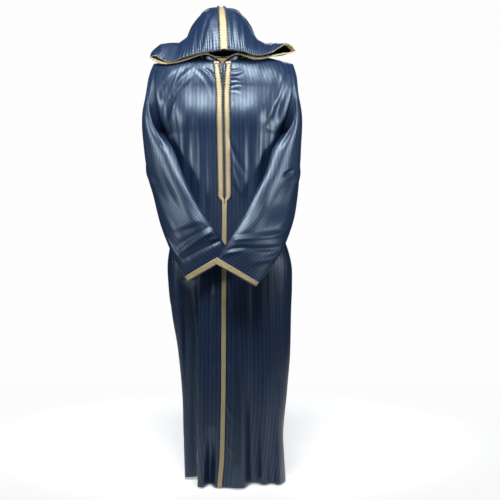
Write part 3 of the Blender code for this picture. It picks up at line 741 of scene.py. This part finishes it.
def hood_normal(side, back, round_share):
    step = 0.01
    along = hood_point(side, min(back + step, 1.0), round_share)
    along = along - hood_point(side, max(back - step, 0.0), round_share)
    across = hood_point(side, back, min(round_share + step, 1.0))
    across = across - hood_point(side, back, max(round_share - step, 0.0))
    return across.cross(along).normalized() * side


def hood_relief(side, back, round_share):
    total = flat_creases(HOOD_CREASES[side], HOOD_DEEP, HOOD_WIDE, back, round_share)
    place = round_share * HOOD_WIDE / PUCKER_PITCH
    pull = math.sin(2 * math.pi * (place + 0.35 * drift(place * 0.6, side, 0.0, 5)))
    shown = ease(round_share, 0.02, 0.06) * (1 - ease(round_share, 0.40, 0.50))
    total += RIM_PUCKER * pull * shown * math.exp(-back / 0.07) * (0.7 + 0.5 * drift(place * 0.3, 0, 0, 6))
    total += UNEVEN["hood"] * drift(back * 7, round_share * 9, side * 3.0, 7) * ease(back, 0.0, 0.2)
    seams = ease(round_share, 0.0, 0.04) * (1 - ease(round_share, 0.90, 1.0)) * (1 - ease(back, 0.9, 1.0))
    return total * seams


def hood_surface(side, back, round_share, distance=0.0):
    normal = hood_normal(side, back, round_share)
    return hood_point(side, back, round_share) + normal * (hood_relief(side, back, round_share) + distance)


# Sheets, stitches and knots

def finish_mesh(name, made, look, node):
    # node is the solid that the piece takes the place of, if any
    mesh = bpy.data.meshes.new(name)
    made.to_mesh(mesh)
    made.free()
    mesh.materials.append(look)
    for face in mesh.polygons:
        face.use_smooth = True
    piece = bpy.data.objects.new(name, mesh)
    bpy.context.scene.collection.objects.link(piece)
    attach(piece, "root")
    if node:
        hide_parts(node)
    return piece


def running_length(points, start):
    # Distance along a line of points, counted from the point that stands at the share start
    total = [0.0]
    for before, after in zip(points, points[1:]):
        total.append(total[-1] + (after - before).length)
    origin = total[round(start * (len(points) - 1))]
    return [value - origin for value in total]


def sheet(
    name, grid, place, thickness, look, node, joined=False, flat=None, start=0.0, lean=None,
):
    # A flat grid carried onto a surface and thickened. Its UV map holds metres across and along; flat is
    # another surface to measure across, start the share across where they count from, lean adds a slant
    columns, rows = grid
    made = bmesh.new()
    bmesh.ops.create_grid(made, x_segments=columns, y_segments=rows, size=0.5)
    points = []
    across = []
    for row in range(rows + 1):
        shares = [(column / columns, row / rows) for column in range(columns + 1)]
        points.append([place(*share) for share in shares])
        line = [flat(*share) for share in shares] if flat else points[-1]
        across.append(running_length(line, start))
    middle = columns // 2
    along = running_length([points[row][middle] for row in range(rows + 1)], 0.0)
    spots = {}
    for vert in made.verts:
        column = round((vert.co.x + 0.5) * columns)
        row = round((vert.co.y + 0.5) * rows)
        spots[vert] = (column, row)
    layer = made.loops.layers.uv.new("metres")
    for face in made.faces:
        for loop in face.loops:
            column, row = spots[loop.vert]
            slant = lean(column / columns, row / rows) if lean else 0.0
            loop[layer].uv = (across[row][column] + slant, along[row])
    for vert in made.verts:
        column, row = spots[vert]
        vert.co = points[row][column]
    if joined:
        bmesh.ops.remove_doubles(made, verts=made.verts, dist=0.00005)
    bmesh.ops.recalc_face_normals(made, faces=made.faces)
    piece = finish_mesh(name, made, look, node)
    thick = piece.modifiers.new("thickness", "SOLIDIFY")
    thick.thickness = thickness
    thick.offset = 0.0
    return piece


def front_panel(side, node, look):
    def place(across, up):
        height = row_height(up * PANEL_ROWS)
        return body_surface(side, across * front_edge(side, height), height)

    def flat(across, up):
        height = min(row_height(up * PANEL_ROWS), CHEST_TOP)
        return body_point(side, across * front_edge(side, height), height)

    def gore(across, up):
        # The side gore is cut on a slant, so its stripes lean in towards the deep fold
        height = row_height(up * PANEL_ROWS)
        x = body_point(side, across * front_edge(side, height), height).x
        if side < 0:
            return GORE_LEAN * max(GORE_TOP - height, 0.0) * ease(-x, 0.096, 0.112)
        return -0.3 * GORE_LEAN * max(GORE_TOP - height, 0.0) * ease(x, 0.03, 0.07)

    return sheet("cloth_" + node, (88, 240), place, CLOTH, look, node, flat=flat, lean=gore)


def back_panel(look):
    def spot(across, height):
        side = -1 if across < 0.5 else 1
        spread = abs(across - 0.5) * 2
        edge = 1.0001
        if height <= ARMPIT + 0.001:
            edge = front_edge(side, height) + SIDE_SEAM_TURN
        return side, 2 - spread * (2 - edge)

    def place(across, up):
        height = min(row_height(up * PANEL_ROWS), -0.0001)
        side, turn = spot(across, height)
        return body_surface(side, turn, height)

    def flat(across, up):
        height = min(row_height(up * PANEL_ROWS), CHEST_TOP)
        side, turn = spot(across, height)
        return body_point(side, turn, height)

    return sheet(
        "cloth_back", (150, 220), place, CLOTH, look, "back", flat=flat, start=0.5,
    )


def sleeve(side, node, look):
    def place(around, along):
        return sleeve_surface(side, around * 2 * math.pi, along * SLEEVE_LAST)

    return sheet("cloth_" + node, (96, 190), place, CLOTH, look, node, joined=True)


def hood_half(side, node, look):
    def place(back, turn):
        return hood_surface(side, back, turn)

    return sheet("cloth_" + node, (64, 300), place, CLOTH, look, node)


def braid_profile(across):
    # A flat braid with a raised cord along each edge
    edge = min(across, 1 - across)
    return 0.00035 * math.exp(-((edge - 0.12) / 0.07) ** 2) + 0.0002 * math.sin(math.pi * across)


def splay(height):
    # The placket braids spread apart towards the neck
    return PLACKET_SPLAY * ease(height, -0.150, -0.030)


def placket_strip(side, name, look):
    def place(across, up):
        inner = PLACKET_INNER if up > 0.03 else SEAM
        offset = inner + (PLACKET_OUTER - inner) * across
        bottom = PLACKET_POINT + (PLACKET_CORNER - PLACKET_POINT) * offset / PLACKET_OUTER
        height = bottom + (PLACKET_TOP - bottom) * up
        turn = front_turn(side, height, offset + max(slit(height), splay(height)))
        return body_surface(side, turn, height, PLACKET_LAY + braid_profile(across))

    return sheet("trim_" + name, (10, 150), place, BRAID, look, name)


def skirt_braid(look):
    def place(across, up):
        offset = (across - 0.5) * 2 * SKIRT_BRAID_HALF
        notch = (PLACKET_CORNER - PLACKET_POINT) * abs(offset) / PLACKET_OUTER
        height = HEM + (PLACKET_POINT - TIP_GAP + notch - HEM) * up
        side = -1 if offset < 0 else 1
        lay = LAY + 3 * SEAM + braid_profile(across)
        return body_surface(side, front_turn(side, height, abs(offset)), height, lay)

    return sheet("trim_skirt", (10, 220), place, BRAID, look, "skirt_braid")


def cuff_braid(side, name, look):
    def place(around, along):
        angle = around * 2 * math.pi
        step = 0.2
        rise = sleeve_point(side, angle, SLEEVE_LAST) - sleeve_point(side, angle, SLEEVE_LAST - step)
        position = SLEEVE_LAST - step * CUFF_BRAID_WIDTH / rise.length * along
        return sleeve_surface(side, angle, position, CUFF_LAY + braid_profile(along))

    return sheet("trim_" + name, (120, 8), place, BRAID, look, name, joined=True)


def across_hood(side, along, lay):
    # The hood braid at a share of its length: its middle, the way out to its edge and its half width
    back = along * HOOD_BRAID_REACH
    half = HOOD_BRAID_HALF["rim"] + (HOOD_BRAID_HALF["tip"] - HOOD_BRAID_HALF["rim"]) * along
    centre = hood_surface(side, back, 0.0, lay)
    edge = hood_surface(side, back, 0.045, lay)
    return centre, (edge - centre).normalized(), half


def hood_braid(look):
    def place(across, along):
        side = -1 if across < 0.5 else 1
        centre, run, half = across_hood(side, along, LAY + SEAM + braid_profile(across))
        return centre + run * abs(across - 0.5) * 2 * half

    return sheet("trim_hood", (12, 70), place, BRAID, look, "hood_braid")


def rim_braid(side, name, look):
    def place(inward, around):
        turn = min(max(around, 0.008), 0.985)
        start = hood_point(side, 0.0, turn)
        length = (hood_point(side, 0.1, turn) - start).length
        lip = RIM_LIP * ease(turn, 0.26, 0.42)
        inside = inward * (RIM_BRAID_WIDTH + lip) - lip
        lay = -(LAY + SEAM) * ease(inside, -0.8 * RIM_LIP, 0.0) - braid_profile(inward)
        here = hood_surface(side, 0.1 * max(inside, 0.0) / length, turn, lay)
        ahead = (start - hood_point(side, 0.1, turn)).normalized()
        return here + ahead * max(-inside, 0.0)

    return sheet("trim_" + name, (6, 300), place, BRAID, look, name)


def neck_facing(look):
    def place(across, up):
        height = FACING_BOTTOM * (1 - up) - 0.001
        side = -1 if across < 0.5 else 1
        turn = 2 - abs(across - 0.5) * 2 * NECK_SHARE * 0.92
        return body_point(side, turn, height) - body_normal(side, turn, height) * FACING_DEPTH

    return sheet("inner_neck", (40, 20), place, BRAID, look, "neck_facing")


def tab(side, name, look):
    # The end of a placket braid, folded over at the neck
    def place(across, up):
        height = PLACKET_TOP - 0.004 + (up - 0.5) * TAB_HEIGHT * 0.2
        offset = PLACKET_INNER - 0.001 + (PLACKET_OUTER - PLACKET_INNER + 0.002) * across
        distance = PLACKET_LAY + BRAID + 3 * SEAM + 0.0006 * math.sin(math.pi * up)
        base = body_surface(side, front_turn(side, height, offset + splay(height)), height, distance)
        return base + Vector((0.0, 0.0, (up - 0.5) * TAB_HEIGHT))

    return sheet("trim_" + name, (10, 6), place, BRAID, look, name)


def beads(name, places, size, look, node):
    # Small rounded stitches or knots: each place is a centre, the way it runs and the way it faces
    made = bmesh.new()
    for centre, run, out in places:
        side_way = run.cross(out).normalized()
        shape = bmesh.ops.create_uvsphere(made, u_segments=8, v_segments=5, radius=1.0)
        for vert in shape["verts"]:
            x, y, z = vert.co
            vert.co = centre + run * x * size[0] + side_way * y * size[1] + out * z * size[2]
    return finish_mesh(name, made, look, node)


def closure_knots(look):
    places = []
    bottom = PLACKET_CORNER + 0.006
    count = round((CLOSURE_TOP - bottom) / KNOT_PITCH)
    for index in range(count + 1):
        height = bottom + index * KNOT_PITCH
        side = -1 if index % 2 else 1
        out = body_normal(side, 0.02, height)
        centre = body_surface(side, front_turn(side, height, 0.0014), height, LAY + 0.0012)
        places.append((centre, Vector((1.0, 0.0, 0.0)), out))
    return beads("closure_knots", places, KNOT_SIZE, look, "closure_row")


def placket_stitches(side, name, look):
    # Dark stitches that catch down both edges of a placket braid
    places = []
    height = PLACKET_CORNER + 0.002
    while height < PLACKET_TOP - 0.008:
        for edge in (PLACKET_OUTER, PLACKET_INNER):
            turn = front_turn(side, height, edge + max(slit(height), splay(height)))
            out = body_normal(side, turn, height)
            centre = body_surface(side, turn, height, PLACKET_LAY + 0.0010)
            places.append((centre, Vector((side, 0.0, 0.2)).normalized(), out))
        height += STITCH_PITCH
    return beads(name, places, STITCH_SIZE, look, None)


def hood_stitches(side, name, look):
    places = []
    count = round(HOOD_BRAID_LENGTH / STITCH_PITCH)
    for index in range(1, count):
        along = index / count
        centre, run, half = across_hood(side, along, LAY + SEAM + 0.0010)
        places.append((centre + run * half, run, hood_normal(side, along * HOOD_BRAID_REACH, 0.03)))
    return beads(name, places, HOOD_STITCH_SIZE, look, None)


# Materials

def linear(hex_colour):
    values = []
    for index in (0, 2, 4):
        value = int(hex_colour[index:index + 2], 16) / 255
        values.append(value / 12.92 if value <= 0.04045 else ((value + 0.055) / 1.055) ** 2.4)
    return (*values, 1.0)


def feed(tree, node, values):
    # Sets a node's inputs, each to a plain value or to another node's output
    for key, value in values.items():
        if isinstance(value, bpy.types.NodeSocket):
            tree.links.new(value, node.inputs[key])
        else:
            node.inputs[key].default_value = value


def add(tree, kind, values, **options):
    # Adds a node, with its own options and the values of its inputs
    made = tree.nodes.new(kind)
    for key, value in options.items():
        setattr(made, key, value)
    feed(tree, made, values)
    return made


def blank(name):
    look = bpy.data.materials.new(name)
    look.use_nodes = True
    return look, look.node_tree, look.node_tree.nodes["Principled BSDF"]


def maths(tree, operation, *values):
    return add(tree, "ShaderNodeMath", dict(enumerate(values)), operation=operation).outputs[0]


def wave_of(tree, source, pitch, shift=0.0):
    # A sine of the given pitch in metres, from 0 to 1
    turns = maths(tree, "MULTIPLY_ADD", source, 2 * math.pi / pitch, shift)
    return maths(tree, "MULTIPLY_ADD", maths(tree, "SINE", turns), 0.5, 0.5)


def between(tree, share, first, second):
    # A value that goes from first to second as the share goes from 0 to 1
    return add(tree, "ShaderNodeMapRange", {0: share, 3: first, 4: second}).outputs[0]


def soft_step(tree, source, low, high):
    # 0 below low and 1 above high, with a soft rise between them
    values = {0: source, 1: low, 2: high}
    return add(tree, "ShaderNodeMapRange", values, interpolation_type="SMOOTHSTEP").outputs[0]


def mixed(tree, share, first, second):
    return add(tree, "ShaderNodeMix", {0: share, 6: first, 7: second}, data_type="RGBA").outputs[2]


def on_cloth(tree):
    # How far across and along its piece a spot lies, in metres
    place = add(tree, "ShaderNodeUVMap", {}, uv_map="metres")
    parts = add(tree, "ShaderNodeSeparateXYZ", {0: place.outputs[0]})
    return parts.outputs[0], parts.outputs[1]


def in_space(tree):
    return add(tree, "ShaderNodeTexCoord", {}).outputs["Object"]


def patches(tree, scale, detail, low, high):
    # Soft uneven patches, from 0 to 1
    cloudy = add(tree, "ShaderNodeTexNoise", {"Vector": in_space(tree), "Scale": scale, "Detail": detail})
    return soft_step(tree, cloudy.outputs[0], low, high)


def raised(tree, height, strength, distance):
    values = {"Height": height, "Strength": strength, "Distance": distance}
    return add(tree, "ShaderNodeBump", values)


def striped_satin():
    # Dark blue satin with tonal stripes along the cloth: bands of shiny warp between duller ones, each
    # with a hair line at its edge, over a fine cross weave
    look, tree, shader = blank("striped_satin")
    across, along = on_cloth(tree)
    band = soft_step(tree, wave_of(tree, across, STRIPE_PITCH), 0.32, 0.68)
    line = soft_step(tree, wave_of(tree, across, STRIPE_PITCH / 4, 0.9), 0.55, 0.95)
    cloud = patches(tree, 9.0, 3.0, 0.35, 0.65)
    base = mixed(tree, band, linear("08152a"), linear("10213e"))
    base = mixed(tree, maths(tree, "MULTIPLY", line, 0.25), base, linear("162b4c"))
    base = mixed(tree, maths(tree, "MULTIPLY", cloud, 0.3), base, linear("0b1a2e"))
    ridge = raised(tree, band, 0.25, 0.0004)
    weave = raised(tree, wave_of(tree, along, WEAVE_PITCH), 0.2, 0.0001)
    feed(tree, weave, {"Normal": ridge.outputs[0]})
    feed(tree, shader, {
        "Base Color": base,
        "Roughness": between(tree, band, 0.44, 0.41),
        "Specular IOR Level": between(tree, band, 0.80, 0.95),
        "Specular Tint": linear("c6dcec"),
        "Normal": weave.outputs[0],
    })
    return look


def gold_braid():
    # Cream and gold braid: slanting threads that meet in a herringbone, worn duller in patches
    look, tree, shader = blank("gold_braid")
    across, along = on_cloth(tree)
    slant = maths(tree, "ADD", along, maths(tree, "PINGPONG", across, HERRINGBONE))
    thread = wave_of(tree, slant, BRAID_THREAD)
    patch = patches(tree, 60.0, 2.0, 0.4, 0.62)
    base = mixed(tree, thread, linear("887853"), linear("aea17e"))
    base = mixed(tree, maths(tree, "MULTIPLY", patch, 0.3), base, linear("8f8463"))
    feed(tree, shader, {
        "Base Color": base,
        "Roughness": 0.46,
        "Metallic": 0.15,
        "Sheen Weight": 0.15,
        "Normal": raised(tree, thread, 0.5, 0.0003).outputs[0],
    })
    return look


def thread_look(name, dark, light, pitch, roughness, painted_glow=0.0):
    # Twisted thread or plain cotton: two close tones wound round each other; a glow above zero makes the
    # cloth give off light of its own, painted light that brightens it where it lies in shade
    look, tree, shader = blank(name)
    parts = add(tree, "ShaderNodeSeparateXYZ", {0: in_space(tree)})
    twist = wave_of(tree, maths(tree, "ADD", parts.outputs[0], parts.outputs[2]), pitch)
    base = mixed(tree, twist, linear(dark), linear(light))
    feed(tree, shader, {
        "Base Color": base,
        "Roughness": roughness,
        "Emission Color": base,
        "Emission Strength": painted_glow,
        "Normal": raised(tree, twist, 0.4, 0.0002).outputs[0],
    })
    return look


def floor_look():
    # Matt and pale, going over to plain white light towards its edge
    look, tree, shader = blank("pale_floor")
    values = {0: in_space(tree), 1: (0.0, FLOOR_BACK, HEM)}
    far = add(tree, "ShaderNodeVectorMath", values, operation="DISTANCE")
    fade = soft_step(tree, far.outputs["Value"], 0.60, FLOOR_REACH)
    feed(tree, shader, {
        "Base Color": mixed(tree, fade, linear("f4f4f2"), (0.0, 0.0, 0.0, 1.0)),
        "Roughness": 0.9,
        "Specular IOR Level": 0.1,
        "Emission Color": (0.97, 0.97, 0.97, 1.0),
        "Emission Strength": between(tree, fade, 0.42, 1.0),
    })
    return look


# The robe

def cloth(piece, rests_on):
    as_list(rests_on)


def build_robe():
    satin = striped_satin()
    gold = gold_braid()
    cord = thread_look("closure_cord", "0f1420", "3b3a3c", 0.0016, 0.6)
    navy = thread_look("navy_thread", "0c1322", "1a2640", 0.0012, 0.5)
    # The cotton facing glows: painted light that brightens it where it lies in shade under the hood
    cotton = thread_look("facing_cotton", "b39c76", "c4b18c", 0.0020, 0.85, 0.7)
    fronts = (front_panel(-1, "front_left", satin), front_panel(1, "front_right", satin))
    rear = back_panel(satin)
    cloth(fronts[0], rear)
    cloth(fronts[1], rear)
    cloth(rear, ())
    arms = (sleeve(-1, "sleeve_left", satin), sleeve(1, "sleeve_right", satin))
    cloth(arms[0], fronts[0])
    cloth(arms[1], fronts[1])
    hoods = (hood_half(-1, "hood_left", satin), hood_half(1, "hood_right", satin))
    cloth(hoods[0], rear)
    cloth(hoods[1], rear)
    closure_knots(cord)
    for side, word, front, arm, hood in zip((-1, 1), ("left", "right"), fronts, arms, hoods):
        end = tab(side, "braid_end_" + word, gold)
        catches = placket_stitches(side, "placket_stitches_" + word, navy)
        strip = placket_strip(side, "placket_braid_" + word, gold)
        cloth(strip, front)
        cloth(cuff_braid(side, "cuff_braid_" + word, gold), arm)
        cloth(rim_braid(side, "rim_braid_" + word, gold), hood)
    cloth(skirt_braid(gold), fronts[0])
    catches = [
        hood_stitches(-1, "hood_stitches_left", navy),
        hood_stitches(1, "hood_stitches_right", navy),
    ]
    cloth(hood_braid(gold), hoods[0])
    cloth(neck_facing(cotton), rear)


def build_floor():
    made = bmesh.new()
    bmesh.ops.create_grid(made, x_segments=1, y_segments=1, size=FLOOR_REACH)
    mesh = bpy.data.meshes.new("floor")
    made.to_mesh(mesh)
    made.free()
    mesh.materials.append(floor_look())
    for vert in mesh.vertices:
        vert.co.y += FLOOR_BACK
        vert.co.z = HEM - 0.004
    floor = bpy.data.objects.new("floor", mesh)
    bpy.context.scene.collection.objects.link(floor)


# Light and camera

def aim(made, target):
    made.rotation_euler = (Vector(target) - made.location).to_track_quat("-Z", "Y").to_euler()


LIGHT_COLUMNS = (
    "name", "x", "y", "z", "target_x", "target_y", "target_z", "width", "height", "spread", "power",
)
LIGHTS = (
    ("key", -0.05, -1.50, 1.50, 0.0, -0.06, -0.10, 1.4, 0.9, 56, 16.5),
    ("left", -1.9, -0.9, -0.1, -0.25, 0.0, 0.75, 0.6, 0.8, 90, 18),
    ("right", 1.9, -0.9, -0.1, 0.25, 0.0, 0.75, 0.6, 0.8, 90, 22),
    ("rear", 0.0, 2.6, 1.6, 0.0, 0.0, -0.50, 1.8, 1.0, 180, 30),
)


def build_lights():
    for row in LIGHTS:
        spec = dict(zip(LIGHT_COLUMNS, row))
        data = bpy.data.lights.new(spec["name"], "AREA")
        data.shape = "RECTANGLE"
        data.size = spec["width"]
        data.size_y = spec["height"]
        data.energy = spec["power"]
        data.spread = math.radians(spec["spread"])
        made = bpy.data.objects.new(spec["name"], data)
        made.location = (spec["x"], spec["y"], spec["z"])
        aim(made, (spec["target_x"], spec["target_y"], spec["target_z"]))
        bpy.context.scene.collection.objects.link(made)
    world = bpy.data.worlds.new("studio")
    world.use_nodes = True
    tree = world.node_tree
    path = add(tree, "ShaderNodeLightPath", {})
    sky = (0.034, 0.046, 0.070, 1.0)
    paper = (0.985, 0.985, 0.985, 1.0)
    shown = mixed(tree, path.outputs["Is Camera Ray"], sky, paper)
    feed(tree, tree.nodes["Background"], {"Color": shown, "Strength": 1.0})
    bpy.context.scene.world = world
    bpy.context.scene.view_settings.view_transform = "Standard"


def build_camera():
    data = bpy.data.cameras.new("camera")
    data.lens = 63.53
    data.sensor_width = 36.0
    made = bpy.data.objects.new("camera", data)
    made.location = (0.092, -3.0, -0.66)
    made.rotation_euler = (math.radians(90), 0.0, 0.0)
    bpy.context.scene.collection.objects.link(made)
    bpy.context.scene.camera = made


build_camera()
build_robe()
build_floor()
build_lights()
